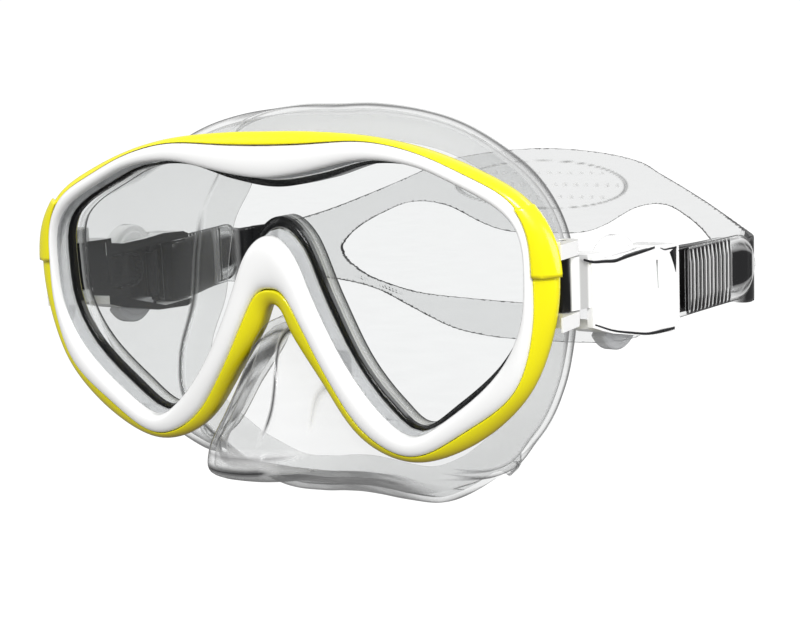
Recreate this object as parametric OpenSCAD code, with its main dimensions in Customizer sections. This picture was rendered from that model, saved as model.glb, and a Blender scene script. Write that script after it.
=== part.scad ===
// Snorkel mask with a one-piece lens, a clear silicone skirt and squeeze buckles.
// Units are millimetres. The origin is the middle of the face seal.
// The wearer looks along -Y, +X is the wearer's left and +Z is up.

/* [Mask] */
// Width over the frame
frame_width = 167; // [150:1:180]
// Depth from the front of the bezel to the middle of the face seal
seal_depth = 50; // [45:1:60]
// Depth from the bezel's front to the lens
lens_front = 5; // [4.8:0.1:5.4]
// Thickness of the lens
lens_thickness = 3.2; // [2.5:0.1:3.4]
// Wall thickness of the silicone skirt
skirt_wall = 1.8; // [1.2:0.1:2.2]

/* [Buckle] */
// Distance of the buckle's hinge from the middle of the mask
hinge_x = 79.6; // [79:0.1:82]
// Depth of the buckle's hinge behind the bezel's front
hinge_depth = 17.8; // [17.5:0.1:20]
// Angle that the buckle leans outwards at rest
buckle_splay = 5.1; // [3:0.1:8]
// Distance from the hinge to the strap roller
roller_reach = 50; // [49.5:0.1:50.5]
// Radius of the strap roller
roller_r = 2.2; // [1.8:0.1:2.3]

/* [Strap] */
// Thickness of the strap at the back of the head
strap_thickness = 1.8; // [1.4:0.1:2.4]
// Thickness of the ribbed strap ends
tail_thickness = 1.6; // [1.2:0.1:1.7]
// Depth of the middle of the strap's curve behind the bezel's front
strap_centre_depth = 118; // [115:1:130]
// Half width of the strap's loop
strap_half_width = 95; // [93:1:100]
// How far the strap's loop bows backwards
strap_bow = 62; // [55:1:75]

/* [Hidden] */
$fn = 48;

// Steps of the outline between two of its points, and stations of the skirt
ring_steps = 3;
skirt_steps = 2;
// Sideways curve of the mask's front: depth grows with the square of x
front_curve = 0.00039;
size_k = frame_width / 167;

// Half outlines as [x, z], from the middle of the brow round the outside of the
// eye, under it and up the side of the nose to the middle of the nose bridge.
// Edge of the window in the bezel
window_half = [
  [0, 23.6], [14, 25.3], [30, 28.4], [45, 27], [57, 22.3], [69, 16], [74.6, 9],
  [75.4, -2], [73.8, -14], [67, -26], [54.5, -37], [42, -44], [32, -38.5],
  [22, -26.5], [13.5, -11], [7, 3.5], [0, 8.5]
];
// Line where the bezel meets the frame
seam_half = [
  [0, 32.6], [13, 32.8], [31, 33.4], [46, 30.4], [59.5, 24.8], [71, 18.8],
  [76.4, 10.5], [77.5, -1], [76.9, -15.5], [71.6, -30.7], [57.6, -41.4],
  [42, -49.5], [27.4, -43.5], [16.8, -29], [9.4, -15.6], [4.6, -8], [0, -6.5]
];
// Outer edge of the frame
outer_half = [
  [0, 36.3], [12, 36.2], [30, 34.9], [46, 31.6], [61.5, 26], [73.5, 19.6],
  [81, 10.5], [83.5, -1], [81.5, -16], [74.5, -32], [60, -45], [42, -51.5],
  [25.5, -46], [14, -31], [5.5, -19.5], [2.5, -13], [0, -11]
];

// Skirt: shoulder behind the frame as [x, z], for the points that aren't at the nose
shoulder_half = [
  [0, 33], [14, 34], [30, 34], [44, 31], [57, 24.5], [67.5, 16.5], [73.6, 8],
  [75, -3], [74.4, -16], [71.5, -32], [61, -46.5], [44, -54.5]
];
shoulder_depth = 22;
// Skirt: widest line of the face flange as [x, depth, z]
flange_half = [
  [0, 43, 41.3], [13, 43, 41.2], [27, 44, 39], [38, 47, 35], [47, 53, 28],
  [54.5, 57.5, 20], [61.5, 58, 9], [65, 58, -4], [66, 56, -20], [66, 48, -36],
  [61, 43, -50], [46, 44, -64], [36, 46, -70.5], [26, 47, -74.5], [15, 48, -75],
  [7, 48, -74.3], [0, 48, -74]
];
// Skirt: walls of the nose pocket as [x, depth, z], one row for each outline point
// from the bottom of the eye to the middle, running from the frame to the upper lip
nose_walls = [
  [[25.5, 13, -48.3], [23.5, 9.5, -49.2], [21.5, 6, -49.9],
    [20, 4, -51.5], [20.5, 6, -56], [28, 23, -62]],
  [[14, 10.5, -34], [13.2, 5, -36.5], [14.5, -1, -42],
    [16, -6, -48.8], [15.5, -4, -55], [19, 20, -61.5]],
  [[6.2, 10, -23], [6.6, 1, -26], [9.3, -7, -38],
    [10.5, -14.5, -48.2], [10.3, -12, -54.8], [12, 19, -61.5]],
  [[3.2, 10, -16], [3.6, -0.2, -19.5], [5, -8, -36.5],
    [5.2, -17.8, -48.1], [5.2, -15, -54.8], [6, 18, -61.5]],
  [[0, 10, -14.5], [0, -0.5, -17.5], [0, -8, -36],
    [0, -18.5, -48.1], [0, -15.6, -54.8], [0, 18, -61.5]]
];
nose_first = 12;
// Shares of the way from shoulder to flange, and the outward bulge at each
flank_shares = [0.22, 0.42, 0.62, 0.8, 0.92];
flank_bulge = [1.6, 2.6, 2.4, 1.4, 0.6];
// Middle that the skirt bulges away from and its lip turns in to
skirt_middle_z = -12;

// Outline of the split strap panel seen from behind, right half as [x, z]
panel_half = [
  [0, 19], [22, 17.6], [38.7, 14.6], [48, 10.4], [64, 3.6], [78, -2], [88, -4.6],
  [100, -5], [100, -24.5], [88, -25], [78, -26.4], [63, -31.4], [50, -39.5],
  [37, -46.6], [24, -49.8], [11, -50.8], [0, -51]
];
// Its slit for hair
split_half = [
  [0, -11.4], [14, -11], [24, -8], [37, -1.4], [49, 0.2], [59, -3.4], [67, -8.4],
  [71.5, -13.6], [72, -17.4], [69, -22.4], [62, -28], [48, -33.4], [30, -35.8],
  [12, -37], [0, -37.2]
];
// Angle on the strap's curve where the panel starts, from the side towards the back
panel_start = 9.6;
panel_steps = 40;

// Depths of the layers behind the lens
lens_back = lens_front + lens_thickness;
seal_back = lens_back + 1;
lip_back = seal_back + 2.4;
frame_flange = lip_back + 0.2;
frame_back = frame_flange + 2.2;
// Shares of the way from window edge (0) to outer edge (1)
lens_edge = 0.27;
pocket_edge = 0.42;
neck_edge = 0.02;
lip_edge = -0.22;

// Shares left free round the seal in the frame's pocket and round the lens in the seal
pocket_gap = 0.02;
lens_gap = 0.005;
seal_edge = -0.05;

// Pads on the frame's sides: gap below them and height over the frame
cap_gap = 0.12;
cap_height = 1;

// Buckle: levels and fits, with distances from the hinge axis
prong_top = [3.2, 7];
prong_bottom = [-15, -11.2];
// Hinge bracket: its front corner and its back along the frame as [x, depth], and the
// room that it leaves for the frame
bracket_front = [83.2, 8.2];
bracket_back = [[80.6, frame_back + 0.15], [82.8, 9.8]];
bracket_room = [11, 10];
barrel_z = [-10.8, 2.8];
barrel_r = 3.7;
hinge_pin_r = 1.25;
axle_r = 0.8;
fit_gap = 0.02;
run_gap = 0.06;
plate_in = 3.9;
plate_out = 5.5;
inner_side = -4.6;
cheek_end = 56;
strap_low = -22;
strap_high = -2.6;
roller_u = -0.4;
pawl_u = 0.6;
pawl_v = 41;
// Plate and cheeks of the buckle, and its rear guides, as [V, Z]
plate_outline = [
  [5.2, 2.3], [9, 1.7], [18, 0.4], [30, 0.4], [41, 0.9], [53, 0.2], [cheek_end, -2.6],
  [cheek_end, -21.6], [53, -24.5], [36, -23.2], [16, -19.2], [5.2, -16]
];
top_cheek = [
  [9, -2.2], [9, 1.7], [18, 0.4], [30, 0.4], [41, 0.9], [53, 0.2], [cheek_end, -0.8],
  [cheek_end, -2.2]
];
bottom_cheek = [
  [9, -14.6], [22, -17.6], [40, -22.3], [cheek_end, -22.3], [cheek_end, -23.8], [53, -24.5],
  [36, -23.2], [16, -19.2], [9, -17.2]
];
// Web between the barrel and the plate as [U, V]
barrel_web = [
  [barrel_r, 0], [plate_out, 8], [plate_out, 12], [inner_side, 12], [inner_side, 9.5], [-2.2, 3]
];
// Half-round buttons: stretch along V, half thickness, radius, and their outermost levels
button_v = [17.5, 37.5];
button_u = 2.6;
button_r = 12.7;
button_crown = [5.2, -25.6];
// Levels between which the half-round parts lie, and those of their slots in the buckle
button_trim = [[-3, 6], [-26, -14.5]];
button_slot = [[-3, 3], [-28, -14]];
// Foot of a button: how far it stands out along V and U, its height, and its lower levels
button_foot = [1.4, 0.8, 1.5];
button_foot_z = [-3.8, -15.8];
// Gap round a button in the buckle along U and V
button_gap = [0.3, 0.4];
// Leaf spring between the buttons as [V, Z]
spring_path = [
  [20, -4.1], [29, -4.1], [31.6, -5.2], [33, -7.6], [33, -10.4], [31.6, -12.8], [29, -14],
  [20, -14]
];
spring_wire = [3, 0.4];
// Pawl: hub radius, and its blade as [U, V]
pawl_hub_r = 1.8;
pawl_blade = [[-0.5, 41.6], [1.7, 46.5], [2.5, 46.5], [2.1, 41]];
pawl_z = [-19.4, -5.2];
// Lower end of the pawl's pin and of the roller's axle
pawl_pin_low = -23;
axle_low = -23.8;
// Free tail of the strap, and its run back to the panel, as [U, V]
tail_path = [[6.1, 106], [4.7, 90], [3.7, 74], [3, 60]];
run_path = [[-3.3, 56], [-1.4, 66], [1.2, 78], [2.8, 92], [4.3, 106.4]];

function lerp(a, b, t) = a + (b - a) * t;
function unit(v) = v / max(norm(v), 0.000001);
function closed(half) =
  concat(half, [for (i = [len(half) - 2 : -1 : 1]) mirrored(half[i])]);
function mirrored(p) = [for (k = [0 : len(p) - 1]) k == 0 ? -p[0] : p[k]];
function curve_point(p0, p1, p2, p3, t) =
  0.5 * (2 * p1 + (p2 - p0) * t + (2 * p0 - 5 * p1 + 4 * p2 - p3) * t * t
  + (3 * p1 - p0 - 3 * p2 + p3) * t * t * t);
function smooth(loop, steps) =
  let (n = len(loop))
  [for (i = [0 : n - 1]) for (k = [0 : steps - 1])
    curve_point(loop[(i + n - 1) % n], loop[i], loop[(i + 1) % n], loop[(i + 2) % n], k / steps)];

window = smooth(closed(window_half), ring_steps) * size_k;
seam = smooth(closed(seam_half), ring_steps) * size_k;
outer = smooth(closed(outer_half), ring_steps) * size_k;
function between(t) = [for (s = [0 : len(window) - 1]) lerp(window[s], outer[s], t)];
function curved(p, depth) = [p[0], depth + front_curve * p[0] * p[0], p[1]];
function flat(p, depth) = [p[0], depth, p[1]];

// A closed ring made of one section per station
module ring(sections) {
  n = len(sections);
  m = len(sections[0]);
  polyhedron(
    points = [for (s = sections) for (p = s) p],
    faces = [for (i = [0 : n - 1]) for (k = [0 : m - 1])
      let (a = i * m + k, b = i * m + (k + 1) % m,
        c = ((i + 1) % n) * m + k, d = ((i + 1) % n) * m + (k + 1) % m)
      for (f = [[a, b, d], [a, d, c]]) f]);
}

// A bar with flat ends made of one section per station
module bar(sections) {
  n = len(sections);
  m = len(sections[0]);
  polyhedron(
    points = [for (s = sections) for (p = s) p],
    faces = concat(
      [for (i = [0 : n - 2]) for (k = [0 : m - 1])
        let (a = i * m + k, b = i * m + (k + 1) % m, c = a + m, d = b + m)
        for (f = [[a, b, d], [a, d, c]]) f],
      [[for (k = [m - 1 : -1 : 0]) k], [for (k = [0 : m - 1]) (n - 1) * m + k]]));
}

// From the depth behind the bezel's front to the part's own origin
module from_front() {
  translate([0, -seal_depth, 0]) children();
}

// A slab with an outline in X and Z, between two depths
module slab(outline, d0, d1) {
  translate([0, d1, 0]) rotate([90, 0, 0]) linear_extrude(d1 - d0) polygon(outline);
}

// Places a piece on the wearer's left (+1) or right (-1) side
module on_side(side) {
  from_front() mirror([side < 0 ? 1 : 0, 0, 0]) children();
}

// Buckle axes: U points outwards, V rearwards from the hinge, Z up
module at_buckle(side) {
  on_side(side) translate([hinge_x, hinge_depth, 0]) rotate([0, 0, -buckle_splay]) children();
}

// A profile in V and Z with a thickness along U
module along_u(u0, u1) {
  translate([u0, 0, 0]) rotate([90, 0, 90]) linear_extrude(u1 - u0) children();
}

// A strip of even thickness along a path
module strip(path, thickness) {
  n = len(path);
  side = [for (i = [0 : n - 1])
    let (t = unit(path[min(i + 1, n - 1)] - path[max(i - 1, 0)])) [-t[1], t[0]] * thickness / 2];
  polygon(concat([for (i = [0 : n - 1]) path[i] + side[i]],
    [for (i = [n - 1 : -1 : 0]) path[i] - side[i]]));
}

module lens() {
  color("lightcyan", 0.4) from_front() slab(between(lens_edge), lens_front, lens_back);
}

module lens_seal() {
  color("gainsboro") from_front() difference() {
    slab(between(pocket_edge - pocket_gap), lens_front + 0.4, seal_back);
    slab(between(lens_edge + lens_gap), lens_front - 1, lens_back);
    slab(between(seal_edge), lens_front, seal_back + 1);
  }
}

module bezel() {
  edge = [for (s = [0 : len(window) - 1]) lerp(window[s], seam[s], 0.985)];
  color("white") from_front() ring([for (s = [0 : len(window) - 1])
    let (a = window[s], b = edge[s]) [
      flat(a, lens_front - 0.05),
      curved(a, 1.4),
      curved(lerp(a, b, 0.14), 0.4),
      curved(lerp(a, b, 0.42), 0),
      curved(lerp(a, b, 0.8), 0.4),
      curved(b, 1.6),
      flat(b, lens_front - 0.05)
    ]]);
}

// Outside of the frame at one station, from the seam to the rear edge
function frame_skin(s) =
  let (a = seam[s], b = outer[s], w = window[s]) [
    curved(a, 1.9),
    curved(lerp(a, b, 0.45), 2.3),
    curved(lerp(a, b, 0.85), 3.4),
    curved(b, 4.6),
    flat(lerp(w, b, 0.9), 9.8),
    flat(lerp(w, b, 0.62), frame_back)
  ];

module frame() {
  color("yellow") from_front() ring([for (s = [0 : len(window) - 1])
    let (w = window[s], b = outer[s]) concat(frame_skin(s), [
      flat(lerp(w, b, 0.04), frame_back),
      flat(lerp(w, b, 0.04), frame_flange),
      flat(lerp(w, b, pocket_edge), frame_flange),
      flat(lerp(w, b, pocket_edge), lens_front + 0.3),
      flat(seam[s], lens_front - 0.05)
    ])]);
}

module side_cap(side) {
  // stations of the outline between which the cap lies
  first = 16;
  last = 21;
  // outward and forward parts of the way that the cap stands off the frame
  lift = [[0, -1], [0.2, -1], [0.75, -0.7], [1, -0.1]];
  function raised(s, height) =
    let (skin = frame_skin(s), r = unit(outer[s] - window[s]))
    [for (k = [0 : len(lift) - 1])
      skin[k] + height * [r[0] * lift[k][0], lift[k][1], r[1] * lift[k][0]]];
  color("gold") on_side(side) bar([for (s = [first : last])
    let (low = raised(s, cap_gap), high = raised(s, cap_height))
    concat(high, [for (k = [len(low) - 1 : -1 : 0]) low[k]])]);
}

// Control rows of the skirt's outer side for one outline point
function skirt_rows(i) =
  let (w = window_half[i], b = outer_half[i], f = flange_half[i],
    out = unit([f[0], 0, f[2] - skirt_middle_z]),
    neck = flat(lerp(w, b, neck_edge), frame_back + 0.2),
    nose = i >= nose_first,
    sh = nose ? neck : flat(shoulder_half[i], shoulder_depth),
    rise = nose ? flat(lerp(w, b, 1.14), frame_back + 1.2)
      : flat(lerp([neck[0], neck[2]], shoulder_half[i], 0.5), frame_back + 2.4))
  concat([neck, rise],
    nose ? nose_walls[i - nose_first]
      : concat([sh], [for (k = [0 : 4]) lerp(sh, f, flank_shares[k]) + out * flank_bulge[k]]),
    [f, f - out * 5 + [0, 3.2, 0], f - out * 10.5 + [0, 3.4, 0]]);

module skirt() {
  rows = [for (i = [0 : len(window_half) - 1]) skirt_rows(i)];
  last = len(rows[0]) - 1;
  loops = [for (k = [0 : last]) smooth(closed([for (i = [0 : len(rows) - 1]) rows[i][k]]), skirt_steps)];
  n = len(loops[0]);
  w = smooth(closed(window_half), skirt_steps);
  b = smooth(closed(outer_half), skirt_steps);
  // inward normal at station i, row k
  inward = [for (i = [0 : n - 1]) [for (k = [0 : last])
    unit(cross(loops[k][(i + 1) % n] - loops[k][(i + n - 1) % n],
      loops[min(k + 1, last)][i] - loops[max(k - 1, 0)][i]))]];
  color("gainsboro", 0.6) from_front() ring([for (i = [0 : n - 1]) concat(
    [flat(lerp(w[i], b[i], lip_edge), seal_back + 0.05),
      flat(lerp(w[i], b[i], pocket_edge - pocket_gap), seal_back + 0.05),
      flat(lerp(w[i], b[i], pocket_edge - pocket_gap), lip_back),
      flat(lerp(w[i], b[i], neck_edge), lip_back)],
    [for (k = [0 : last]) loops[k][i]],
    [for (k = [last : -1 : 1]) loops[k][i] - inward[i][k] * skirt_wall * (k == last ? 0.5 : 1)],
    [flat(lerp(w[i], b[i], lip_edge), frame_back + 2)])]);
}

module strap_back() {
  arc = [for (k = [0 : panel_steps]) panel_start + (180 - 2 * panel_start) * k / panel_steps];
  inner = [strap_half_width, strap_bow] - strap_thickness * [1, 1];
  module half_pair(half) {
    polygon(concat(half, [for (i = [len(half) - 2 : -1 : 1]) mirrored(half[i])]));
  }
  color("gainsboro", 0.6) from_front() intersection() {
    translate([0, strap_centre_depth, -60]) linear_extrude(90) polygon(concat(
      [for (a = arc) [strap_half_width * cos(a), strap_bow * sin(a)]],
      [for (k = [panel_steps : -1 : 0]) [inner[0] * cos(arc[k]), inner[1] * sin(arc[k])]]));
    translate([0, strap_centre_depth + strap_bow + 5, 0]) rotate([90, 0, 0])
      linear_extrude(strap_bow + 5) difference() {
        half_pair(panel_half);
        half_pair(split_half);
      }
  }
}

module hinge_bracket(side) {
  reach = barrel_r + 0.4;
  behind = bracket_back[0][1];
  color("white") on_side(side) difference() {
    for (z = [prong_top, prong_bottom]) translate([0, 0, z[0]]) linear_extrude(z[1] - z[0])
      difference() {
        union() {
          translate([hinge_x, hinge_depth]) circle(reach);
          polygon([bracket_front, [hinge_x + reach, bracket_front[1]],
            [hinge_x + reach, hinge_depth], [hinge_x - reach, hinge_depth],
            [hinge_x - reach, behind], bracket_back[0], bracket_back[1]]);
        }
        translate([hinge_x + 1 - bracket_room[0], behind - bracket_room[1]]) square(bracket_room);
      }
    translate([hinge_x, hinge_depth, -20]) cylinder(h = 40, r = hinge_pin_r + fit_gap);
  }
}

module hinge_pin(side) {
  color("dimgray") on_side(side) translate([hinge_x, hinge_depth, prong_bottom[0] + 0.1])
    cylinder(h = prong_top[1] - prong_bottom[0] - 0.2, r = hinge_pin_r);
}

module buckle_body(side) {
  color("white") at_buckle(side) difference() {
    union() {
      translate([0, 0, barrel_z[0]]) linear_extrude(barrel_z[1] - barrel_z[0]) {
        circle(barrel_r);
        polygon(barrel_web);
      }
      along_u(plate_in, plate_out) polygon(plate_outline);
      along_u(inner_side, plate_out) polygon(top_cheek);
      along_u(inner_side, plate_out) polygon(bottom_cheek);
    }
    translate([0, 0, -30]) cylinder(h = 40, r = hinge_pin_r + run_gap);
    translate([roller_u, roller_reach, -30]) cylinder(h = 40, r = axle_r + fit_gap);
    translate([pawl_u, pawl_v, -30]) cylinder(h = 40, r = axle_r + fit_gap);
    for (z = button_slot)
      translate([-button_u - button_gap[0], button_v[0] - button_gap[1], z[0]])
        cube([2 * (button_u + button_gap[0]), button_v[1] - button_v[0] + 2 * button_gap[1],
          z[1] - z[0]]);
  }
}

// A half-round button with a wider foot. which is 0 at the top and 1 at the bottom
module button(side, which) {
  middle = (button_v[0] + button_v[1]) / 2;
  length = button_v[1] - button_v[0];
  centre_z = which == 0 ? button_crown[0] - button_r : button_crown[1] + button_r;
  trim = button_trim[which];
  color("silver", 0.6) at_buckle(side) {
    along_u(-button_u, button_u) intersection() {
      translate([middle, centre_z]) circle(button_r, $fn = 96);
      translate([button_v[0], trim[0]]) square([length, trim[1] - trim[0]]);
    }
    along_u(-button_u - button_foot[1], button_u + button_foot[1])
      translate([button_v[0] - button_foot[0], button_foot_z[which]])
        square([length + 2 * button_foot[0], button_foot[2]]);
  }
}

module button_top(side) {
  button(side, 0);
}

module button_bottom(side) {
  button(side, 1);
}

module release_spring(side) {
  color("gray") at_buckle(side) along_u(-spring_wire[0] / 2, spring_wire[0] / 2)
    strip(spring_path, spring_wire[1]);
}

module ratchet_pawl(side) {
  height = pawl_z[1] - pawl_z[0];
  color("dimgray") at_buckle(side) translate([0, 0, pawl_z[0]]) difference() {
    union() {
      translate([pawl_u, pawl_v, 0]) cylinder(h = height, r = pawl_hub_r);
      linear_extrude(height) polygon(pawl_blade);
    }
    translate([pawl_u, pawl_v, -1]) cylinder(h = height + 2, r = axle_r + run_gap);
  }
}

module pawl_pin(side) {
  color("gray") at_buckle(side) translate([pawl_u, pawl_v, pawl_pin_low])
    cylinder(h = -pawl_pin_low, r = axle_r);
}

module strap_roller(side) {
  color("dimgray") at_buckle(side) translate([roller_u, roller_reach, strap_low + 0.1]) difference() {
    cylinder(h = strap_high - strap_low - 0.2, r = roller_r);
    translate([0, 0, -1]) cylinder(h = 30, r = axle_r + run_gap);
  }
}

module roller_axle(side) {
  color("gray") at_buckle(side) translate([roller_u, roller_reach, axle_low])
    cylinder(h = -axle_low, r = axle_r);
}

module strap_end(side) {
  wrap_r = roller_r + 0.2 + tail_thickness / 2;
  turn = [for (a = [0 : -15 : -180]) [roller_u + wrap_r * cos(a), roller_reach + wrap_r * sin(a)]];
  path = concat(tail_path, turn, run_path);
  color("gainsboro", 0.6) at_buckle(side)
    translate([0, 0, strap_low]) linear_extrude(strap_high - strap_low) strip(path, tail_thickness);
}

lens();
lens_seal();
bezel();
frame();
skirt();
strap_back();
side_cap(1);  // side_cap_left
side_cap(-1);  // side_cap_right
hinge_bracket(1);  // hinge_bracket_left
hinge_bracket(-1);  // hinge_bracket_right
hinge_pin(1);  // hinge_pin_left
hinge_pin(-1);  // hinge_pin_right
buckle_body(1);  // buckle_body_left
buckle_body(-1);  // buckle_body_right
button_top(1);  // button_top_left
button_top(-1);  // button_top_right
button_bottom(1);  // button_bottom_left
button_bottom(-1);  // button_bottom_right
release_spring(1);  // release_spring_left
release_spring(-1);  // release_spring_right
ratchet_pawl(1);  // ratchet_pawl_left
ratchet_pawl(-1);  // ratchet_pawl_right
pawl_pin(1);  // pawl_pin_left
pawl_pin(-1);  // pawl_pin_right
strap_roller(1);  // strap_roller_left
strap_roller(-1);  // strap_roller_right
roller_axle(1);  // roller_axle_left
roller_axle(-1);  // roller_axle_right
strap_end(1);  // strap_end_left
strap_end(-1);  // strap_end_right
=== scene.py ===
"""Looks of the snorkel mask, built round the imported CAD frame. Lengths in tables are millimetres
measured like the CAD source: x across, depth behind the bezel's front, z up."""
import math

import bmesh
import bpy
from mathutils import Matrix, Vector
from mathutils.kdtree import KDTree


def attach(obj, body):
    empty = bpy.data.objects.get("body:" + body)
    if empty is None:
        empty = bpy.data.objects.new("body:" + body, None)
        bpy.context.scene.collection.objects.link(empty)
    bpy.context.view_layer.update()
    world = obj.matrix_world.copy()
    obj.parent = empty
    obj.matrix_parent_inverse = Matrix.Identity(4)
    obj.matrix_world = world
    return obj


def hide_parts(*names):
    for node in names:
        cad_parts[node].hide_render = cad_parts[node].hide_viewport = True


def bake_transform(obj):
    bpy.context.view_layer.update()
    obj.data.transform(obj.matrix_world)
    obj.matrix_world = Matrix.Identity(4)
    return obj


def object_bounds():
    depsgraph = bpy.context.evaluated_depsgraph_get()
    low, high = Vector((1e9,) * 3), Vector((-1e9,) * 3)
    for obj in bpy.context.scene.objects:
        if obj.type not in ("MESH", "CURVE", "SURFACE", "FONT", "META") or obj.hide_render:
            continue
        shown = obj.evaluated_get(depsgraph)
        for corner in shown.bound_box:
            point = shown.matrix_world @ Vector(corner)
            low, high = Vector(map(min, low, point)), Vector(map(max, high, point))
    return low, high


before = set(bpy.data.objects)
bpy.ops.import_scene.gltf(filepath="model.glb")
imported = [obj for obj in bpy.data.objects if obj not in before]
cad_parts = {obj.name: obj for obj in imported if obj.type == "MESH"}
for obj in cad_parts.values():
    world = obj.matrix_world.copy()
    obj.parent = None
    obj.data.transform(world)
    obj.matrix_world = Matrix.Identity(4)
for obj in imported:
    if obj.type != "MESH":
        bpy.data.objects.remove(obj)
cad_low, cad_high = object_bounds()

MM = 0.001
SEAL_DEPTH = 50.0  # depth of the frame's origin behind the bezel's front
SIDES = {"left": 1, "right": -1}
PAINTED_BLACK = (0.006, 0.006, 0.007)  # the black painted on clear parts as shade, where light doesn't get through
LIGHT_CONTOUR = -0.1  # value of the attribute "mark" where a clear part's painted dark contour is left out

# ---------------------------------------------------------------- camera, light, floor


# Fitted to the two symmetric halves of the mask: degrees, metres from the frame's origin, lens in mm
CAMERA_TURN = (30.0, 9.258, -2.338)  # azimuth, elevation, roll
CAMERA_PLACE = (0.2546, -0.4187, 0.0571)
CAMERA_LENS = 75.69
LIGHTS_AIM = Vector((0, 0.02, -0.01))


def add_camera():
    azimuth, elevation, roll = (math.radians(a) for a in CAMERA_TURN)
    right = Vector((math.cos(azimuth), math.sin(azimuth), 0))
    back = Vector((math.sin(azimuth) * math.cos(elevation),
                   -math.cos(azimuth) * math.cos(elevation), math.sin(elevation)))
    up = back.cross(right)
    x_axis = right * math.cos(roll) + up * math.sin(roll)
    y_axis = up * math.cos(roll) - right * math.sin(roll)
    data = bpy.data.cameras.new("camera")
    data.lens = CAMERA_LENS
    data.sensor_width = 36
    data.clip_start, data.clip_end = 0.01, 50
    camera = bpy.data.objects.new("camera", data)
    bpy.context.scene.collection.objects.link(camera)
    camera.matrix_world = Matrix.Translation(CAMERA_PLACE) @ Matrix(
        (x_axis, y_axis, back)).transposed().to_4x4()
    bpy.context.scene.camera = camera


def add_area_light(name, place, size, power):
    data = bpy.data.lights.new(name, "AREA")
    data.shape = "DISK"
    data.size = size
    data.energy = power
    light = bpy.data.objects.new(name, data)
    light.location = place
    light.rotation_euler = (LIGHTS_AIM - Vector(place)).to_track_quat("-Z", "Y").to_euler()
    bpy.context.scene.collection.objects.link(light)


def paint_sky(tree):
    """A white studio: bright overhead, dimmer towards the horizon, and plain white where it is seen."""
    height = tree.nodes.new("ShaderNodeSeparateXYZ")
    tree.links.new(tree.nodes.new("ShaderNodeTexCoord").outputs["Generated"], height.inputs["Vector"])
    dome = tree.nodes.new("ShaderNodeMapRange")
    tree.links.new(height.outputs["Z"], dome.inputs["Value"])
    dome.inputs["From Min"].default_value, dome.inputs["From Max"].default_value = 0.0, 0.9
    dome.inputs["To Min"].default_value, dome.inputs["To Max"].default_value = 0.34, 0.95
    seen = tree.nodes.new("ShaderNodeMix")
    tree.links.new(tree.nodes.new("ShaderNodeLightPath").outputs["Is Camera Ray"], seen.inputs["Factor"])
    tree.links.new(dome.outputs["Result"], seen.inputs["A"])
    seen.inputs["B"].default_value = 1.05
    tree.links.new(seen.outputs["Result"], tree.nodes["Background"].inputs["Strength"])
    tree.nodes["Background"].inputs["Color"].default_value = (1, 1, 1, 1)


def add_studio():
    world = bpy.data.worlds.new("studio")
    bpy.context.scene.world = world
    world.use_nodes = True
    paint_sky(world.node_tree)
    add_area_light("key", (0.45, -0.95, 0.7), 0.4, 9)
    add_area_light("side", (1.2, -0.25, 0.25), 0.7, 6)
    add_area_light("fill", (-0.9, -0.5, 0.5), 0.8, 1.5)
    add_area_light("rim", (0.5, 0.9, 0.6), 0.6, 3)
    add_floor()
    bpy.context.scene.view_settings.view_transform = "Standard"


def add_floor():
    """Paper a little below the mask that glows, so that it stays white and lights nothing."""
    half, level = 6.0, cad_low.z - 0.03
    corners = [(-half, -half, level), (half, -half, level), (half, half, level), (-half, half, level)]
    mesh = bpy.data.meshes.new("floor")
    mesh.from_pydata(corners, [], [(0, 1, 2, 3)])
    floor = bpy.data.objects.new("floor", mesh)
    mesh.materials.append(plastic("floor_paper", (0.06, 0.06, 0.06), roughness=0.75, coat=0, glow=0.98))
    bpy.context.scene.collection.objects.link(floor)
    floor.visible_diffuse = floor.visible_glossy = False


# ---------------------------------------------------------------- materials


class Nodes:
    """Short calls for a material's node tree."""

    def __init__(self, name):
        self.material = bpy.data.materials.new(name)
        self.material.use_nodes = True
        self.tree = self.material.node_tree
        self.tree.nodes.clear()
        self.coordinates = self.tree.nodes.new("ShaderNodeTexCoord").outputs["Object"]

    def add(self, kind, inputs=None, **settings):
        node = self.tree.nodes.new(kind)
        for key, value in settings.items():
            setattr(node, key, value)
        for key, value in (inputs or {}).items():
            if isinstance(value, bpy.types.NodeSocket):
                self.tree.links.new(value, node.inputs[key])
            else:
                node.inputs[key].default_value = value
        return node

    def noise(self, scale, detail=3.0):
        return self.add("ShaderNodeTexNoise", {"Vector": self.coordinates, "Scale": scale,
                                               "Detail": detail}).outputs["Fac"]

    def spread(self, value, low, high, source_low=0.3, source_high=0.7):
        return self.add("ShaderNodeMapRange", {
            "Value": value, "From Min": source_low, "From Max": source_high,
            "To Min": low, "To Max": high}).outputs["Result"]

    def tint(self, factor, dark, light):
        node = self.add("ShaderNodeMix", {"Factor": factor}, data_type="RGBA")
        node.inputs["A"].default_value = (*dark, 1)
        node.inputs["B"].default_value = (*light, 1)
        return node.outputs["Result"]

    def cover(self, base, colour, factor):
        """A colour socket with a plain colour painted over it, as far as factor says."""
        node = self.add("ShaderNodeMix", {"Factor": factor}, data_type="RGBA")
        self.tree.links.new(base, node.inputs["A"])
        node.inputs["B"].default_value = (*colour, 1)
        return node.outputs["Result"]

    def axes(self, vector):
        return self.add("ShaderNodeSeparateXYZ", {0: vector}).outputs

    def normal(self):
        return self.axes(self.add("ShaderNodeNewGeometry").outputs["Normal"])

    def maths(self, operation, a, b):
        return self.add("ShaderNodeMath", {0: a, 1: b}, operation=operation).outputs["Value"]

    def bump(self, height, strength, distance):
        return self.add("ShaderNodeBump", {"Height": height, "Strength": strength,
                                           "Distance": distance}).outputs["Normal"]

    def show(self, shader):
        output = self.tree.nodes.new("ShaderNodeOutputMaterial")
        self.tree.links.new(shader, output.inputs["Surface"])
        return self.material


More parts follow.
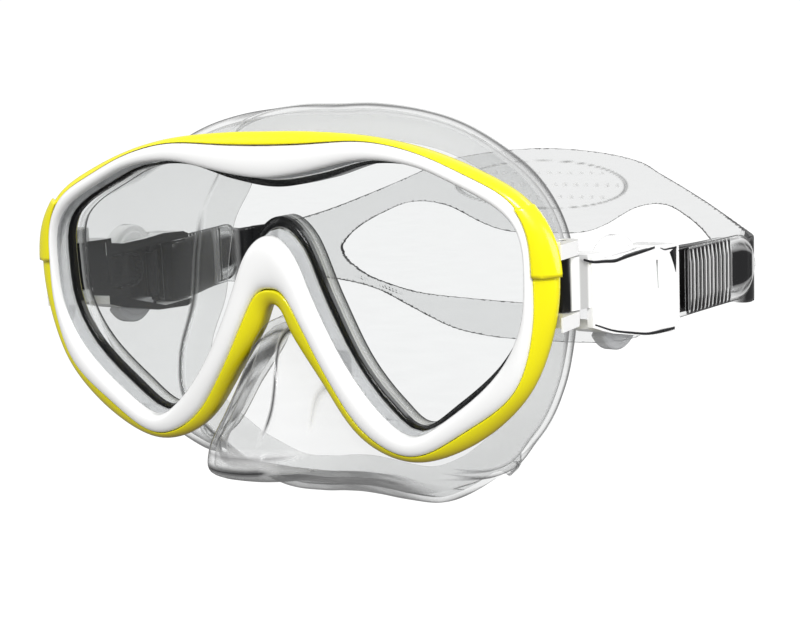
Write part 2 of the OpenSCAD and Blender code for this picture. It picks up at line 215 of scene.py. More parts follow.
def plastic(name, colour, roughness=0.16, coat=0.4, spread=0.03, metallic=0.0, glow=0.0, shine=0.5,
            painted=None):
    """Moulded plastic, rubber or metal with a faint flow pattern and fine surface grain. painted is a
    function of the material's nodes that gives a colour of painted shade to lay over it and how far."""
    n = Nodes(name)
    darker = tuple(max(0.0, c - spread) for c in colour)
    base = n.tint(n.spread(n.noise(60.0), 0, 1), darker, colour)
    if painted:
        base = n.cover(base, *painted(n))
    shader = n.add("ShaderNodeBsdfPrincipled", {
        "Base Color": base,
        "Roughness": n.spread(n.noise(420.0), roughness - 0.04, roughness + 0.05),
        "Normal": n.bump(n.noise(900.0, 2.0), 0.05, 0.0002),
        "Metallic": metallic,
        "Specular IOR Level": shine,
        "Emission Color": (1, 1, 1, 1),
        "Emission Strength": glow,
        "Coat Weight": coat,
        "Coat Roughness": 0.05})
    return n.show(shader.outputs["BSDF"])


def painted_shade_below(n):
    """For the yellow plastic: painted shade, brown on faces that look down."""
    return (0.36, 0.24, 0.01), n.spread(n.normal()["Z"], 1, 0, -0.95, 0.0)


# Depths in metres from the frame's origin where the buckle's painted shade fades, as the two sides of each
# soft edge: the painted shadow in the gap and the grey band of painted shade
GAP_SHADOW_EDGE = (-0.0345, -0.0339)
SHADE_BAND_FRONT, SHADE_BAND_REAR = (-0.0315, -0.0308), (-0.0284, -0.0276)


def buckle_painted_shade(n):
    """For the buckle: painted shade, dark on the faces turned to the head and as a painted shadow in the gap
    in front of its hinge barrel, with a grey band of painted shade behind the barrel."""
    place = n.axes(n.coordinates)
    outward = n.maths("MULTIPLY", n.maths("SIGN", place["X"], 0.0), n.normal()["X"])
    inside = n.spread(outward, 1, 0, -0.75, -0.55)
    gap = n.spread(place["Y"], 1, 0, *GAP_SHADOW_EDGE)
    shade_band = n.maths("MULTIPLY", n.spread(place["Y"], 0, 0.45, *SHADE_BAND_FRONT),
                   n.spread(place["Y"], 1, 0, *SHADE_BAND_REAR))
    return (0.01, 0.01, 0.011), n.maths("MAXIMUM", n.maths("MAXIMUM", inside, gap), shade_band)


def clear(name, tint, body, face=0.0, edge=0.9, contour=(0.62, 0.84), roughness=0.08, marks=True):
    """Clear moulded silicone or plastic: see-through face on, with a dark contour painted where it turns away.
    The mesh attribute "mark" is 1 where black is painted over it, on thick walls as shade, LIGHT_CONTOUR where
    the painted contour stays light and -1 where a white highlight is painted."""
    n = Nodes(name)
    facing = n.add("ShaderNodeLayerWeight", {"Blend": 0.5}).outputs["Facing"]
    rim = n.spread(facing, 0, 1, *contour)
    density = n.maths("ADD", n.spread(rim, face, edge, 0, 1), n.spread(n.noise(45.0), 0.0, 0.004))
    colour = n.tint(n.spread(n.noise(30.0), 0, 1), tuple(c * 0.95 for c in body), body)
    black = rim
    if marks:
        mark = n.add("ShaderNodeAttribute", attribute_name="mark").outputs["Fac"]
        density = n.maths("MAXIMUM", density, n.maths("MULTIPLY", n.maths("ABSOLUTE", mark, 0.0), 0.96))
        black = n.maths("MAXIMUM", n.maths("MULTIPLY", black, n.spread(mark, 0, 1, LIGHT_CONTOUR, 0.0)), mark)
    solid = n.add("ShaderNodeBsdfPrincipled", {
        "Base Color": n.cover(colour, PAINTED_BLACK, n.spread(black, 0, 1, 0, 1)),
        "Roughness": n.spread(n.noise(300.0), roughness - 0.03, roughness + 0.05),
        "IOR": 1.41,
        "Specular IOR Level": 0.3})
    window = n.add("ShaderNodeBsdfTransparent", {"Color": (*tint, 1)})
    mix = n.add("ShaderNodeMixShader", {0: density, 1: window.outputs["BSDF"], 2: solid.outputs["BSDF"]})
    return n.show(mix.outputs["Shader"])


WHITE, NEAR_BLACK, MILK = (0.95, 0.95, 0.945), (0.012, 0.012, 0.014), (0.9, 0.9, 0.9)
MATERIALS = {
    "white_gloss": plastic("white_plastic", WHITE, roughness=0.14, spread=0.02),
    "yellow_gloss": plastic("yellow_plastic", (0.92, 0.84, 0.0), roughness=0.22, coat=0.1, spread=0.02,
                            painted=painted_shade_below),
    "seal_rubber": plastic("seal_rubber", (0.93, 0.93, 0.94), roughness=0.3, coat=0.1),
    "dark_plastic": plastic("dark_plastic", NEAR_BLACK, roughness=0.3, coat=0.0, spread=0.006, shine=0.15),
    "pin_steel": plastic("pin_steel", (0.05, 0.05, 0.055), roughness=0.25, coat=0.0, metallic=1.0),
    "clear_silicone": clear("clear_silicone", (0.92, 0.923, 0.923), MILK, contour=(0.72, 0.9)),
    "strap_silicone": clear("strap_silicone", (0.885, 0.888, 0.888), MILK, contour=(0.66, 0.9)),
    "button_clear": clear("button_clear", (0.9, 0.9, 0.91), (0.62, 0.63, 0.64), face=0.6, edge=0.95,
                          contour=(0.7, 1.0), marks=False),
    # A lighter copy of button_clear for the top buttons: painted light, as they face the light from above.
    "button_painted_light": clear("button_painted_light", (0.95, 0.95, 0.95), (0.95, 0.95, 0.95), face=0.9, edge=0.95,
                          contour=(0.85, 1.0), marks=False),
    "lens_glass": clear("lens_glass", (0.905, 0.91, 0.91), (0.75, 0.8, 0.8), edge=0.7, contour=(0.8, 1.0),
                        roughness=0.05, marks=False),
}
PAINTED = {
    "lens_glass": ["lens"],
    "seal_rubber": ["lens_seal"],
    "white_gloss": ["hinge_bracket", "buckle_body"],
    "pin_steel": ["hinge_pin", "pawl_pin", "roller_axle", "release_spring"],
    "dark_plastic": ["ratchet_pawl", "strap_roller"],
}


def paint_cad_nodes():
    """Gives the CAD nodes that stay in view their materials, and softens the edges of moulded ones."""
    # The buckles' plastic carries painted shade: dark inside, a painted shadow before the hinge barrel and a
    # grey band behind it.
    buckle = plastic("buckle_plastic_painted_shade", WHITE, roughness=0.2, coat=0.0, spread=0.02, shine=0.15,
                     painted=buckle_painted_shade)
    for slot, names in PAINTED.items():
        for name in names:
            for node in [name] + [f"{name}_{side}" for side in SIDES]:
                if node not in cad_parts:
                    continue
                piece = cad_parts[node]
                piece.data.materials.clear()
                piece.data.materials.append(MATERIALS[slot])
                if name == "buckle_body":
                    piece.data.materials[0] = buckle
                if name in ("hinge_bracket", "buckle_body"):
                    weld = piece.modifiers.new("weld", "WELD")
                    weld.merge_threshold = 1e-6
                    bevel = piece.modifiers.new("bevel", "BEVEL")
                    bevel.width, bevel.segments = 0.0004, 3
                    bevel.limit_method, bevel.angle_limit = "ANGLE", math.radians(35)
                    bevel.harden_normals = True


# ---------------------------------------------------------------- mesh helpers


def new_piece(name, points, faces, slot, body, replaces=(), marks=None):
    """A mesh from millimetres in the CAD source's axes, riding on a body. marks has one value per point."""
    mesh = bpy.data.meshes.new(name)
    mesh.from_pydata([(x * MM, (depth - SEAL_DEPTH) * MM, z * MM) for x, depth, z in points], [], faces)
    if marks is not None:
        mesh.attributes.new("mark", "FLOAT", "POINT").data.foreach_set("value", marks)
    return finish_piece(mesh, name, slot, body, replaces)


def finish_piece(mesh, name, slot, body, replaces=(), levels=0):
    """An object from a mesh, smoothly shaded and in its slot."""
    bm = bmesh.new()
    bm.from_mesh(mesh)
    bmesh.ops.recalc_face_normals(bm, faces=bm.faces)
    bm.to_mesh(mesh)
    bm.free()
    for polygon in mesh.polygons:
        polygon.use_smooth = True
    piece = bpy.data.objects.new(name, mesh)
    bpy.context.scene.collection.objects.link(piece)
    mesh.materials.clear()
    mesh.materials.append(MATERIALS[slot])
    if levels:
        smooth = piece.modifiers.new("smooth", "SUBSURF")
        smooth.levels = smooth.render_levels = levels
    if body:
        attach(piece, body)
    if replaces:
        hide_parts(*replaces)
    return piece


def applied(piece):
    """The mesh that a piece's modifiers give. The piece is deleted."""
    mesh = bpy.data.meshes.new_from_object(piece.evaluated_get(bpy.context.evaluated_depsgraph_get()))
    bpy.data.objects.remove(piece)
    return mesh


def tube_faces(sections, size, first=0):
    """Faces of a tube with closed ends, made of sections with size points each."""
    faces = [(a + k, a + (k + 1) % size, a + size + (k + 1) % size, a + size + k)
             for a in range(first, first + (sections - 1) * size, size) for k in range(size)]
    end = first + (sections - 1) * size
    return faces + [tuple(range(first, first + size)), tuple(range(end, end + size))]


def refined(node, name, slot, levels, crease):
    """A smooth piece in place of a CAD node that is made of flat facets. Edges sharper than crease degrees
    stay fairly sharp."""
    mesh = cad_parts[node].data.copy()
    bm = bmesh.new()
    bm.from_mesh(mesh)
    bmesh.ops.remove_doubles(bm, verts=bm.verts, dist=1e-6)
    bmesh.ops.join_triangles(bm, faces=bm.faces, angle_face_threshold=math.radians(25),
                             angle_shape_threshold=math.radians(70))
    layer = bm.edges.layers.float.new("crease_edge")
    for edge in bm.edges:
        if len(edge.link_faces) == 2 and edge.calc_face_angle() > math.radians(crease):
            edge[layer] = 0.55
    bm.to_mesh(mesh)
    bm.free()
    return finish_piece(mesh, name, slot, "root", [node], levels)


# ---------------------------------------------------------------- front: bezel and frame


def add_front():
    refined("bezel", "bezel_shell", "white_gloss", 2, crease=70)
    refined("frame", "frame_shell", "yellow_gloss", 2, crease=60)
    for side in SIDES:
        refined(f"side_cap_{side}", f"side_pad_{side}", "yellow_gloss", 2, crease=60)


# ---------------------------------------------------------------- skirt

# Right halves of the skirt's outlines as (x, z), top to bottom: the window in the lens, the frame's outer edge
# and the shoulder behind it. FLANGE is the rim on the face, as (x, depth, z). Point i of each outline makes
# one section of the skirt. From NOSE_FIRST on, NOSE_WALLS has the section's own points instead of a shoulder.
WINDOW = [
    (0, 23.6), (14, 25.3), (30, 28.4), (45, 27), (57, 22.3), (69, 16), (74.6, 9),
    (75.4, -2), (73.8, -14), (67, -26), (54.5, -37), (42, -44), (32, -38.5),
    (22, -26.5), (13.5, -11), (7, 3.5), (0, 8.5)]
OUTER = [
    (0, 36.3), (12, 36.2), (30, 34.9), (46, 31.6), (61.5, 26), (73.5, 19.6),
    (81, 10.5), (83.5, -1), (81.5, -16), (74.5, -32), (60, -45), (42, -51.5),
    (25.5, -46), (14, -31), (5.5, -19.5), (2.5, -13), (0, -11)]
SHOULDER = [
    (0, 33), (14, 34), (30, 34), (44, 31), (57, 24.5), (67.5, 16.5), (73.6, 8),
    (75, -3), (74.4, -16), (71.5, -32), (61, -46.5), (44, -54.5)]
SHOULDER_DEPTH = 22
FLANGE = [
    (0, 43, 41.3), (13, 43, 41.2), (27, 44, 39), (38, 47, 35), (47, 53, 28),
    (54.5, 57.5, 20), (61.5, 58, 9), (65, 58, -4), (66, 56, -20), (66, 48, -36),
    (61, 43, -50), (46, 44, -64), (36, 46, -70.5), (26, 47, -74.5), (15, 48, -75),
    (7, 48, -74.3), (0, 48, -74)]
NOSE_FIRST = 12
NOSE_WALLS = [
    [(25.5, 13, -48.3), (23.5, 9.5, -49.2), (21.5, 6, -49.9), (20, 4, -51.5), (20.5, 6, -56), (28, 23, -62)],
    [(14, 10.5, -34), (13.2, 5, -36.5), (14.5, -1, -42), (16, -6, -48.8), (15.5, -4, -55), (19, 20, -61.5)],
    [(6.2, 10, -23), (6.6, 1, -26), (9.3, -7, -38), (10.5, -14.5, -48.2), (10.3, -12, -54.8),
     (12, 19, -61.5)],
    [(3.2, 10, -16), (3.6, -0.2, -19.5), (5, -8, -36.5), (5.2, -17.8, -48.1), (5.2, -15, -54.8),
     (6, 18, -61.5)],
    [(0, 10, -14.5), (0, -0.5, -17.5), (0, -8, -36), (0, -18.5, -48.1), (0, -15.6, -54.8), (0, 18, -61.5)]]
FLANK = [(0.22, 1.6), (0.42, 2.6), (0.62, 2.4), (0.8, 1.4), (0.92, 0.6)]  # share of the way, outward bulge
SKIRT_MIDDLE_Z = -12
SKIRT_WALL = 1.8
SEAL_BACK, LIP_BACK, FRAME_BACK = 9.2, 11.6, 14.0
NECK_EDGE, LIP_EDGE, POCKET_EDGE = 0.02, -0.22, 0.40
SKIRT_STEPS, SKIRT_FINE = 10, 8  # curve points per outline point, and per row of a section
LIGHT_FROM = 8.2  # row of a section behind which the contour stays light

# Lip behind the lens, as share of the way from window edge to frame edge, depth, and darkness of its painted
# shade, and the wall that joins it to the skirt's inside, as depth and darkness of painted shade; below 0 a
# light stripe is painted
LIP_FRONT = [
    (LIP_EDGE, SEAL_BACK + 0.05, 1.0), (LIP_EDGE + 0.14, SEAL_BACK + 0.05, 1.0),
    (LIP_EDGE + 0.16, SEAL_BACK + 0.05, 0.0), (POCKET_EDGE, SEAL_BACK + 0.05, 0.0),
    (POCKET_EDGE, LIP_BACK, 0.8), (NECK_EDGE, LIP_BACK, 0.5)]
LIP_WALL = [
    (FRAME_BACK + 2, 0.9), (FRAME_BACK + 1.2, 0.9), (FRAME_BACK + 1.0, 0.0), (FRAME_BACK - 1.2, -0.5),
    (FRAME_BACK - 1.4, 0.0), (FRAME_BACK - 2.5, 0.0), (FRAME_BACK - 2.7, 1.0), (SEAL_BACK + 0.6, 1.0)]


def lerp(a, b, share):
    return Vector(a) * (1 - share) + Vector(b) * share


def at_depth(point, depth):
    return Vector((point[0], depth, point[1]))


def closed(half):
    """A closed loop from the right half of a symmetric one, which starts and ends in the middle."""
    return [Vector(p) for p in half] + [Vector((-p[0], *p[1:])) for p in half[-2:0:-1]]


def catmull(a, b, c, d, steps):
    """Points on the Catmull-Rom curve from b up to, but without, c."""
    shares = [k / steps for k in range(steps)]
    return [0.5 * (2 * b + (c - a) * t + (2 * a - 5 * b + 4 * c - d) * t * t
                   + (3 * b - a - 3 * c + d) * t * t * t) for t in shares]


def smooth(loop, steps):
    """A curve through the points of a closed loop."""
    near = [[loop[(i + k) % len(loop)] for k in (-1, 0, 1, 2)] for i in range(len(loop))]
    return [point for four in near for point in catmull(*four, steps)]


def path_points(control, steps):
    """A curve through the points of an open path."""
    ends = [control[0] * 2 - control[1]] + control + [control[-1] * 2 - control[-2]]
    near = zip(ends, ends[1:], ends[2:], ends[3:])
    return [point for four in near for point in catmull(*four, steps)] + [control[-1]]


def skirt_rows(i):
    """Control points of the skirt's outer side behind one outline point, from the frame to the lip."""
    window, outer, flange = Vector(WINDOW[i]), Vector(OUTER[i]), Vector(FLANGE[i])
    out = Vector((flange.x, 0, flange.z - SKIRT_MIDDLE_Z)).normalized()
    neck = at_depth(lerp(window, outer, NECK_EDGE), FRAME_BACK + 0.2)
    if i >= NOSE_FIRST:
        walls = [at_depth(lerp(window, outer, 1.14), FRAME_BACK + 1.2)]
        walls += [Vector(p) for p in NOSE_WALLS[i - NOSE_FIRST]]
    else:
        shoulder = at_depth(SHOULDER[i], SHOULDER_DEPTH)
        walls = [at_depth(lerp((neck.x, neck.z), SHOULDER[i], 0.5), FRAME_BACK + 2.4), shoulder]
        walls += [lerp(shoulder, flange, share) + out * bulge for share, bulge in FLANK]
    return [neck] + walls + [flange, flange - out * 5 + Vector((0, 3.2, 0)),
                             flange - out * 10.5 + Vector((0, 3.4, 0))]


def ring_faces(stations, section):
    """Faces of a ring whose sections have section points each."""
    return [(i * section + k, i * section + (k + 1) % section,
             (i + 1) % stations * section + (k + 1) % section, (i + 1) % stations * section + k)
            for i in range(stations) for k in range(section)]


# Painted shade in the creases of the nose pocket, as place, half width, from, to, darkness. A crease across
# lies at a row of the sections between two outline places, and one along lies at an outline place between two
# rows. Place 16 is the middle of the nose.
CREASES_ACROSS = [
    (5.02, 0.2, 12.9, 19.1, 0.8), (5.5, 0.34, 13.7, 18.8, 1.3), (6.1, 0.12, 12.6, 19.4, 0.5),
    (8.0, 0.2, 11, 19.4, 1.0), (8.0, 0.34, 19.4, 26, 1.2), (8.0, 0.14, -1, 11, 0.6), (8.0, 0.14, 26, 33, 0.6)]
CREASES_ALONG = [
    (18.3, 0.5, 0.6, 5.2, 1.5), (17.6, 0.16, 0.8, 4.9, 1.0), (19.1, 0.2, 1.2, 5.0, 1.0),
    (14.8, 0.22, 1.6, 4.7, 1.3), (13.1, 0.12, 1.0, 4.4, 0.5), (19.8, 0.3, 0.9, 6.2, 1.2)]


def darkest(creases, along, across, fading):
    """The darkest crease at a point, which lies at along on a crease's way and at across beside it."""
    shade = 0.0
    for at, half, start, end, strength in creases:
        fade = max(0.0, min(1.0, (along - start) / fading, (end - along) / fading))
        shade = max(shade, fade * strength * (1 - abs(across - at) / half))
    return min(1.0, shade)


def crease_shade(place, row):
    """How much shade is painted on the skirt's outer side at an outline place, 0 to 32, and a row of its
    section.
    """
    return max(darkest(CREASES_ACROSS, place, row, 0.9), darkest(CREASES_ALONG, row, place, 0.5))


def add_skirt():
    """The skirt as rings: lip front, outer side to the flange's turned-in lip, inner side, and lip wall."""
    rows = [path_points(skirt_rows(i), SKIRT_FINE) for i in range(len(WINDOW))]
    last = len(rows[0]) - 1
    loops = [smooth(closed([row[k] for row in rows]), SKIRT_STEPS) for k in range(last + 1)]
    window, outer = smooth(closed(WINDOW), SKIRT_STEPS), smooth(closed(OUTER), SKIRT_STEPS)
    stations = len(window)
    points, marks = [], []
    for i in range(stations):
        edge = [at_depth(lerp(window[i], outer[i], share), depth) for share, depth, _ in LIP_FRONT]
        outside = [loop[i] for loop in loops]
        inside = []
        for k in range(last, 0, -3):
            along = loops[k][(i + 1) % stations] - loops[k][i - 1]
            down = loops[min(k + 1, last)][i] - loops[max(k - 1, 0)][i]
            thickness = SKIRT_WALL * (0.5 if k == last else 1)
            inside.append(outside[k] - along.cross(down).normalized() * thickness)
        wall = [at_depth(lerp(window[i], outer[i], LIP_EDGE), depth) for depth, _ in LIP_WALL]
        points += edge + outside + inside + wall
        marks += [shade for _, _, shade in LIP_FRONT]
        for k in range(last + 1):
            light = LIGHT_CONTOUR if k > LIGHT_FROM * SKIRT_FINE else 0.0
            marks.append(crease_shade(i / SKIRT_STEPS, k / SKIRT_FINE) + light)
        marks += [LIGHT_CONTOUR] * len(inside)
        marks += [shade for _, shade in LIP_WALL]
    faces = ring_faces(stations, len(points) // stations)
    new_piece("silicone_skirt", points, faces, "clear_silicone", "root", ["skirt"], marks)


# ---------------------------------------------------------------- buckles, buttons

HINGE_X, HINGE_DEPTH, SPLAY = 79.6, 17.8, math.radians(5.1)
BUTTON_V = 27.5  # middle of the buttons behind the hinge
BUTTON_R, BUTTON_HALF_ANGLE = 12.7, math.radians(52)
TOP_BUTTON_HIGH, BOTTOM_BUTTON_LOW = 5.2, -25.6
# Radius and half width of each step
BUTTON_STEPS = [(BUTTON_R, 1.5), (BUTTON_R - 0.5, 2.0), (10.6, 2.0), (10.2, 2.5)]
BUTTON_BASE = 6.0  # distance of the straight inner edge from the middle of the arc


def buckle_point(side, u, v, z):
    """From buckle axes (u outwards, v rearwards from the hinge) to the source's axes, in millimetres."""
    return Vector((side * (HINGE_X + u * math.cos(SPLAY) + v * math.sin(SPLAY)),
                   HINGE_DEPTH - u * math.sin(SPLAY) + v * math.cos(SPLAY), z))


def add_button(side_name, which, centre_z, sign):
    """A half-round button with steps like a shell's, as a sector that ends inside the buckle."""
    stations, points = 40, []
    for i in range(stations + 1):
        angle = BUTTON_HALF_ANGLE * (2 * i / stations - 1)
        half = BUTTON_STEPS + [(BUTTON_BASE / math.cos(angle), BUTTON_STEPS[-1][1])]
        for r, w in half + [(r, -w) for r, w in half[::-1]]:
            v, z = BUTTON_V + r * math.sin(angle), centre_z + sign * r * math.cos(angle)
            points.append(buckle_point(SIDES[side_name], w, v, z))
    faces = tube_faces(stations + 1, 2 * len(BUTTON_STEPS) + 2)
    piece = new_piece(f"{which}_button_{side_name}", points, faces, "button_clear",
                      f"{which}_button_{side_name}", [f"button_{which}_{side_name}"])
    # The top buttons get the lighter copy: painted light from above.
    if which == "top":
        piece.data.materials[0] = MATERIALS["button_painted_light"]
    bevel = piece.modifiers.new("bevel", "BEVEL")
    bevel.width, bevel.segments, bevel.limit_method = 0.00018, 2, "ANGLE"


def add_buttons():
    for side_name in SIDES:
        add_button(side_name, "top", TOP_BUTTON_HIGH - BUTTON_R, 1)
        add_button(side_name, "bottom", BOTTOM_BUTTON_LOW + BUTTON_R, -1)


PLATE_OUT = 5.5
# Section of a line in the buckle's plate, as u and the side of the line
LINE_SECTION = [(PLATE_OUT - 0.3, -1), (PLATE_OUT - 0.3, 1), (PLATE_OUT + 0.04, 1), (PLATE_OUT + 0.04, -1)]
# The painted shadow lines, as (v, z) points with half widths
PLATE_SHADOW_LINES = [
    [(1.5, 2.0, 0.25), (6, 0.9, 0.35), (12, 0.3, 0.4), (18, -0.3, 0.45), (24, 0.0, 0.5), (31, 0.2, 0.5),
     (37, 0.3, 0.4), (41, 0.4, 0.3)],
    [(44.5, -0.2, 0.12), (47, -0.9, 0.2), (50, -1.0, 0.25), (54.5, -1.2, 0.3)],
    [(42.2, -3.2, 0.35), (42.3, -6, 0.1), (42.8, -11, 0.05)],
    [(52.2, -1.4, 2.2), (53.2, -5, 1.0), (53.8, -8, 0.1)],
    [(6.4, -15.4, 0.2), (16, -18.4, 0.25), (26, -20.6, 0.3), (36, -22.5, 0.35), (45, -23.2, 0.5),
     (52.6, -23.6, 0.4)]]


def add_plate_shadow_lines(side_name):
    """Thin dark strips on the outside of a buckle's plate: painted shadow in its parting gaps and the latch's
    notch.
    """
    points, faces = [], []
    for line in PLATE_SHADOW_LINES:
        path = path_points([Vector(p) for p in line], 6)
        faces += tube_faces(len(path), len(LINE_SECTION), len(points))
        for i, p in enumerate(path):
            along = path[min(i + 1, len(path) - 1)] - path[max(i - 1, 0)]
            across = Vector((-along.y, along.x)).normalized() * p.z
            points += [buckle_point(SIDES[side_name], u, p.x + across.x * way, p.y + across.y * way)
                       for u, way in LINE_SECTION]
    new_piece(f"plate_shadow_lines_{side_name}", points, faces, "dark_plastic", f"buckle_{side_name}")


# ---------------------------------------------------------------- strap

# Heights of the strap's ends, and their paths in the buckle's axes as (u, v)
STRAP_LOW, STRAP_HIGH = -22.0, -2.6
STRAP_MIDDLE, STRAP_HALF = (STRAP_LOW + STRAP_HIGH) / 2, (STRAP_HIGH - STRAP_LOW) / 2
STRAP_THICKNESS, STRAP_ROUNDING = 1.6, 0.3
EDGE_CELL = 1.2  # height of the cells along the strap's two edges
TAIL_PATH = [(6.1, 106), (4.7, 90), (3.7, 74), (3, 60)]
RUN_PATH = [(-3.3, 56), (-1.4, 66), (1.2, 78), (2.8, 92), (4.3, 106.4)]
RUN_END = (3.5, 111)
ROLLER_U, ROLLER_V, WRAP_R = -0.4, 50.0, 3.2
PANEL_DROP, DROP_FROM, DROP_LENGTH = 2.4, 88, 20  # the strap sinks by this much on its way to the panel
ACROSS = 8  # cells across the strap
RIB_PITCH, RIB_SHARE, RIB_HEIGHT = 2.3, 0.3, 0.5
RUN_RIBS, TAIL_RIBS = (60, 84), (66, 104)  # where the ribs are, as v
TAIL_END = 91.0  # where the tail's ribs stop and its half-round end starts
# Where black is painted on the strap, as v: before BLACK_TO and after BLACK_FROM, each fading over BLACK_FADE
BLACK_TO, BLACK_FROM, BLACK_FADE = 78, 96, 8
WRAP_REAR = 57  # black is painted on the strap's edges in front of this


def evenly(points, gap):
    """The same path with points an even distance apart."""
    lengths = [0.0]
    for a, b in zip(points, points[1:]):
        lengths.append(lengths[-1] + (b - a).length)
    count = round(lengths[-1] / gap)
    out, k = [], 0
    for i in range(count + 1):
        target = lengths[-1] * i / count
        while k < len(lengths) - 2 and lengths[k + 1] < target:
            k += 1
        share = (target - lengths[k]) / (lengths[k + 1] - lengths[k])
        out.append(points[k].lerp(points[k + 1], min(1, share)))
    return out


def eased(value):
    value = max(0.0, min(1.0, value))
    return value * value * (3 - 2 * value)


def across_strap(k, span):
    """Height of point k across the strap from its middle. Those beside the edges lie close to them."""
    if k in (1, ACROSS - 1):
        return (span - min(EDGE_CELL, span * 0.4)) * (1 if k > 1 else -1)
    return span * (2 * k / ACROSS - 1)


def add_strap_end(side_name):
    """One end of the strap: it comes forward from the panel, turns round the roller and ends in a free,
    ribbed tail with a half-round end. The ribs are on the face that looks at the head before the roller."""
    side = SIDES[side_name]
    turn = [(ROLLER_U + WRAP_R * math.cos(math.radians(a)), ROLLER_V + WRAP_R * math.sin(math.radians(a)))
            for a in range(180, 361, 30)]
    control = [RUN_END, *RUN_PATH[::-1], *turn, *TAIL_PATH[::-1]]
    path = evenly(path_points([Vector(p) for p in control], 8), 0.25)
    total = sum((b - a).length for a, b in zip(path, path[1:]))
    roller_at = min(range(len(path)), key=lambda i: path[i].y)
    points, marks = [], []
    reach = 0.0
    for i, p in enumerate(path):
        reach += (p - path[i - 1]).length if i else 0.0
        left = total - reach
        along = (path[min(i + 1, len(path) - 1)] - path[max(i - 1, 0)]).normalized()
        normal = Vector((along.y, -along.x))
        tail = i > roller_at
        span = STRAP_HALF * math.sqrt(max(0.01, 1 - max(0.0, 1 - left / STRAP_HALF) ** 2))
        drop = 0.0 if tail else PANEL_DROP * eased((p.y - DROP_FROM) / DROP_LENGTH)
        ribs_from, ribs_to = TAIL_RIBS if tail else RUN_RIBS
        toothed = ribs_from < p.y < ribs_to
        ending = tail and p.y > TAIL_END
        crest = toothed and not ending and reach % RIB_PITCH < RIB_PITCH * RIB_SHARE
        # Painted black on the tail and near both ends of the run, with painted white highlights on the tail's
        # rib crests.
        if tail:
            shade = (-0.8 if crest else 1.0) if toothed else 0.0
        else:
            shade = max(1 - eased((p.y - BLACK_TO) / BLACK_FADE), eased((p.y - BLACK_FROM) / BLACK_FADE))
        border_shade = max(shade, 0.9 if toothed or p.y < WRAP_REAR else 0.0)
        for face in (1, -1):
            for k in range(ACROSS + 1)[::face]:
                border, beside = k in (0, ACROSS), k in (1, ACROSS - 1)
                ribbed = crest and face > 0 and not border and not beside
                lift = (STRAP_THICKNESS / 2 - (STRAP_ROUNDING if border else 0.0)
                        + (RIB_HEIGHT if ribbed else 0.0))
                q = p + normal * lift * face
                points.append(buckle_point(side, q.x, q.y, STRAP_MIDDLE - drop + across_strap(k, span)))
                # Painted highlights along the tail's half-round end.
                shining = ending and (beside or 0.6 < left < 1.8)
                marks.append(border_shade if border else -0.7 if shining else shade)
    strap = new_piece(f"strap_end_loop_{side_name}", points, tube_faces(len(path), 2 * (ACROSS + 1)),
                      "clear_silicone", None, [f"strap_end_{side_name}"], marks)
    strap.data.materials[0] = MATERIALS["strap_silicone"]
    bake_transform(strap)


# Right halves of the panel's outer outline and of the split in it, as (x, z), top to bottom
PANEL_HALF = [
    (0, 19), (22, 17.6), (38.7, 14.6), (48, 10.4), (64, 3.6), (78, -2), (88, -4.6),
    (100, -5), (100, -24.5), (88, -25), (78, -26.4), (63, -31.4), (50, -39.5),
    (37, -46.6), (24, -49.8), (11, -50.8), (0, -51)]
SPLIT_HALF = [
    (0, -11.4), (14, -11), (24, -8), (37, -1.4), (49, 0.2), (59, -3.4), (67, -8.4),
    (71.5, -13.6), (72, -17.4), (69, -22.4), (62, -28), (48, -33.4), (30, -35.8),
    (12, -37), (0, -37.2)]
ROUNDED_TO = 90  # the outlines stay as they are beyond this, where the panel meets the strap's ends
LOOP_HALF_WIDTH, LOOP_BOW, LOOP_CENTRE = 95.0, 62.0, 118.0 - SEAL_DEPTH
PAD_MIDDLE, PAD_HALF_WIDTH, PAD_HALF_HEIGHT, PAD_LIFT = 6.0, 33.0, 8.5, 0.45
DIMPLE_PITCH, DIMPLE_DEPTH = 4.2, 0.5
PANEL_BLACK_FROM = 84  # x beyond which black is painted on the panel


def round_outlines(mesh):
    """Moves the panel's rims from the straight edges of its outlines to smooth curves through the points."""
    steps, reach = 12, 5
    samples = []
    for half in (PANEL_HALF, SPLIT_HALF):
        loop = closed([(*p, 0) for p in half])
        for i, curved in enumerate(smooth(loop, steps)):
            straight = lerp(loop[i // steps], loop[(i // steps + 1) % len(loop)], i % steps / steps)
            if abs(straight.x) < ROUNDED_TO:
                samples.append((straight, curved - straight))
    tree = KDTree(len(samples))
    for i, (straight, _) in enumerate(samples):
        tree.insert(straight, i)
    tree.balance()
    coordinates = []
    for vertex in mesh.vertices:
        x, y, z = vertex.co / MM
        _, i, distance = tree.find((x, z, 0))
        shift = samples[i][1] * math.exp(-(distance / reach) ** 2)
        slope = -(LOOP_BOW / LOOP_HALF_WIDTH) ** 2 * x / max(8.0, y - LOOP_CENTRE)
        coordinates += [(x + shift.x) * MM, (y + slope * shift.x) * MM, (z + shift.y) * MM]
    mesh.vertices.foreach_set("co", coordinates)
    mesh.update()


def pad_level(x, z):
    """0 in the middle of the oval pad behind the head, and 1 at its rim."""
    return ((x / PAD_HALF_WIDTH) ** 2 + ((z - PAD_MIDDLE) / PAD_HALF_HEIGHT) ** 2) ** 0.5


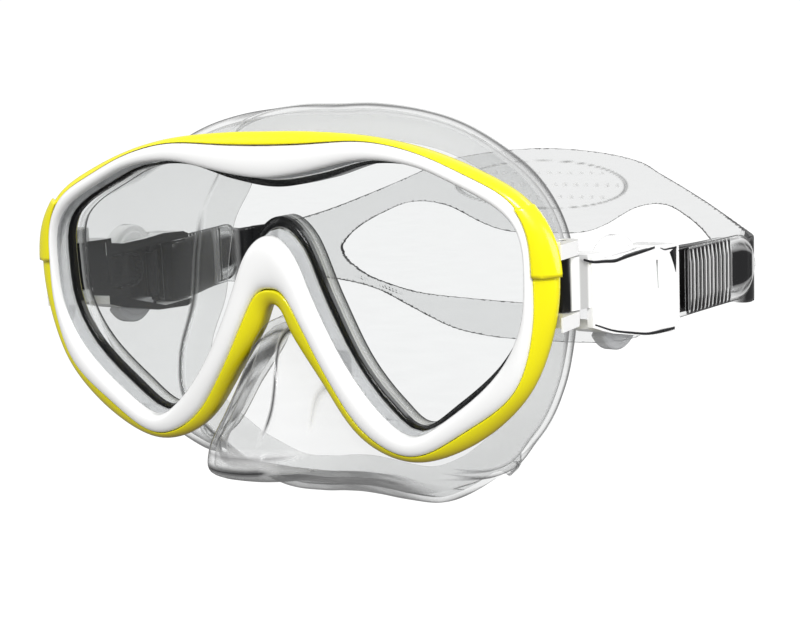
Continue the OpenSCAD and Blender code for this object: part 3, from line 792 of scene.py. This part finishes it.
def dimple_distance(x, z):
    """How far the nearest dimple is, in pitches. Every other row is shifted by half a pitch."""
    row = (z - PAD_MIDDLE) / DIMPLE_PITCH
    column = x / DIMPLE_PITCH - 0.5 * (round(row) % 2)
    return math.hypot(row - round(row), column - round(column))


def add_strap_panel():
    """The split panel behind the head: the CAD solid remeshed finely, with round edges and a dimpled pad."""
    work = bpy.data.objects.new("strap_panel_work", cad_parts["strap_back"].data.copy())
    bpy.context.scene.collection.objects.link(work)
    remesh = work.modifiers.new("remesh", "REMESH")
    remesh.mode, remesh.voxel_size = "VOXEL", 0.00055
    soften = work.modifiers.new("soften", "SMOOTH")
    soften.factor, soften.iterations = 0.5, 4
    mesh = applied(work)
    round_outlines(mesh)
    coordinates, marks = [], []
    for vertex in mesh.vertices:
        place, normal = vertex.co.copy(), vertex.normal
        x, z = place.x / MM, place.z / MM
        level, dimple = pad_level(x, z), dimple_distance(x, z)
        on_pad = level < 0.9
        lift = PAD_LIFT * max(0.0, min(1.0, (1.0 - level) * 12))
        if on_pad:
            lift -= DIMPLE_DEPTH * max(0.0, 1 - (dimple / 0.28) ** 2)
        place.y += lift * max(0.0, normal.y) * MM
        coordinates += [*place]
        # Painted shade as dark lines round the pad's rim and on the cut faces, painted black towards the
        # strap's ends, and painted white highlights in the dimples' middles.
        pad_rim = 0.8 * max(0.0, 1 - abs(level - 1) / 0.03)
        cut_face = Vector((normal.x * 0.35, normal.y, 0)).length < 0.6
        mark = max(pad_rim, 1.0 if cut_face else 0.0, eased((abs(x) - PANEL_BLACK_FROM) / BLACK_FADE))
        marks.append(-0.6 if on_pad and dimple < 0.13 else mark)
    mesh.vertices.foreach_set("co", coordinates)
    mesh.attributes.new("mark", "FLOAT", "POINT").data.foreach_set("value", marks)
    panel = finish_piece(mesh, "strap_panel", "clear_silicone", "root", ["strap_back"])
    panel.data.materials[0] = MATERIALS["strap_silicone"]


# ---------------------------------------------------------------- the whole scene

add_camera()
add_studio()
paint_cad_nodes()
add_front()
add_skirt()
add_buttons()
for side_name in SIDES:
    add_plate_shadow_lines(side_name)
    add_strap_end(side_name)
add_strap_panel()
